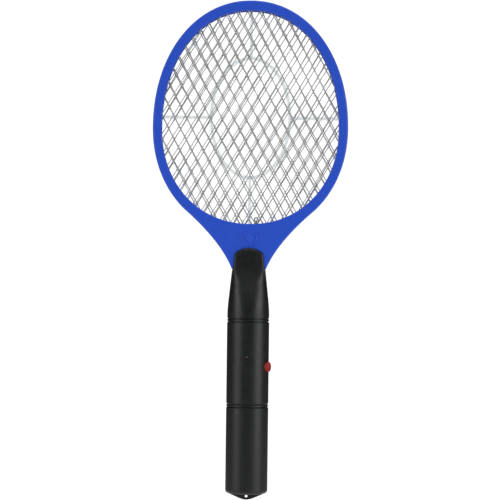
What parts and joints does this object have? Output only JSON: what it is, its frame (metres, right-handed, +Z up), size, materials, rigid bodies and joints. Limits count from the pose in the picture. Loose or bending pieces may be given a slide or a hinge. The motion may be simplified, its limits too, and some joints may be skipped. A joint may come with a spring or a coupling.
{
  "type": "electric fly swatter",
  "caption": "Battery electric fly swatter: oval plastic head with three metal grids on a round handle with push button, lamp and pull-off battery cap.",
  "frame": {"origin": "on the handle's axis, at the middle of the straight grip of the battery cap", "axes": "+Z up the handle to the top of the head, -Y out of the front face, +X to the side with the push button"},
  "size_m": [0.172, 0.0375, 0.44],
  "materials": {
    "blue_abs": "moulded, semi-gloss",
    "grid_steel": "expanded, dull",
    "pale_plastic": "translucent, moulded",
    "screw_steel": "zinc plated",
    "tinned_brass": "tinned",
    "red_pvc": "insulated lead",
    "blue_pvc": "insulated lead",
    "black_abs": "moulded, satin",
    "red_abs": "moulded",
    "switch_black": "moulded",
    "switch_white": "moulded",
    "fr4_green": "solder mask",
    "ferrite": "sintered",
    "bobbin_plastic": "moulded",
    "copper_wire": "enamelled winding under tape",
    "epoxy_brown": "dipped",
    "epoxy_blue": "dipped",
    "epoxy_black": "moulded",
    "resistor_tan": "lacquered",
    "led_epoxy": "clear tinted",
    "nickel_plate": "nickel plated spring steel",
    "cell_jacket": "plain jacket"
  },
  "bodies": {
    "swatter": {"front_frame": "blue_abs", "rear_frame": "blue_abs", "front_mesh": "grid_steel", "centre_mesh": "grid_steel", "rear_mesh": "grid_steel", "front_spacer": "pale_plastic", "rear_spacer": "pale_plastic", "frame_screws": "screw_steel", "outer_terminals": "tinned_brass", "centre_terminal": "tinned_brass", "outer_mesh_leads": "red_pvc", "centre_mesh_lead": "blue_pvc", "handle_front": "black_abs", "handle_rear": "black_abs", "handle_screws": "screw_steel", "switch_body": "switch_black", "circuit_board": "fr4_green", "transformer_core": "ferrite", "transformer_bobbin": "bobbin_plastic", "transformer_winding": "copper_wire", "hv_capacitor": "epoxy_brown", "doubler_capacitors": "epoxy_blue", "doubler_diodes": "epoxy_black", "transistor": "epoxy_black", "resistors": "resistor_tan", "led": "led_epoxy", "battery_carrier": "black_abs", "bridge_contact": "nickel_plate", "positive_contact": "nickel_plate", "negative_contact": "nickel_plate", "battery_springs": "nickel_plate", "battery_1": "cell_jacket", "battery_2": "cell_jacket", "battery_leads": "red_pvc"},
    "cap": {"battery_cap": "black_abs"},
    "button": {"push_button": "red_abs"},
    "plunger": {"switch_plunger": "switch_white"}
  },
  "joints": [
    {"name": "cap_pull", "type": "slide", "parent": "swatter", "child": "cap", "axis": [0, 0, -1], "range_m": [0, 0.07]},
    {"name": "button_press", "type": "slide", "parent": "swatter", "child": "button", "axis": [-0.9063, 0.4226, 0], "range_m": [0, 0.0015], "stiffness_N_per_m": 900},
    {"name": "plunger_press", "type": "slide", "parent": "swatter", "child": "plunger", "axis": [-0.9063, 0.4226, 0], "range_m": [0, 0.0015]}
  ],
  "couplings": [
    {"joint": "plunger_press", "follows": "button_press", "ratio": 1}
  ]
}
